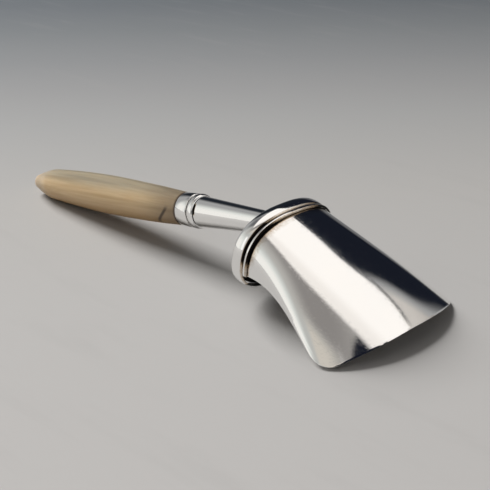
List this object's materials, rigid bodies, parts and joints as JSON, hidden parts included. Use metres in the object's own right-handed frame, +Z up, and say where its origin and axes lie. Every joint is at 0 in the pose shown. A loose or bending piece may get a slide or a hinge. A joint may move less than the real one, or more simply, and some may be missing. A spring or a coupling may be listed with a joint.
{
  "type": "caddy spoon",
  "caption": "Silver caddy spoon with a flared sheet bowl on an oval back plate, moulded wire rim, tapered socket and pale horn handle, lying bowl-down.",
  "frame": {"origin": "bottom centre of the bounding box, on the surface that the spoon lies on", "axes": "+X along the spoon from the handle's butt to the front of the bowl, +Z up from the table, with the hollow of the bowl facing down"},
  "size_m": [0.1226, 0.0416, 0.0204],
  "materials": {
    "silver_bowl": "polished silver with fine wear scratches",
    "silver_plate": "polished silver, duller inside the bowl",
    "silver_wire": "polished silver, dark tarnish left in the grooves",
    "silver_socket": "polished silver",
    "horn": "polished pale horn with darker streaks",
    "pitch": "dark brown resin cement"
  },
  "bodies": {
    "root": {"bowl_sheet": "silver_bowl", "back_plate": "silver_plate", "rim_wire": "silver_wire", "seam_wire": "silver_wire", "socket_tube": "silver_socket", "socket_bead": "silver_socket", "socket_collar": "silver_socket", "handle": "horn", "handle_cement": "pitch"}
  },
  "joints": []
}
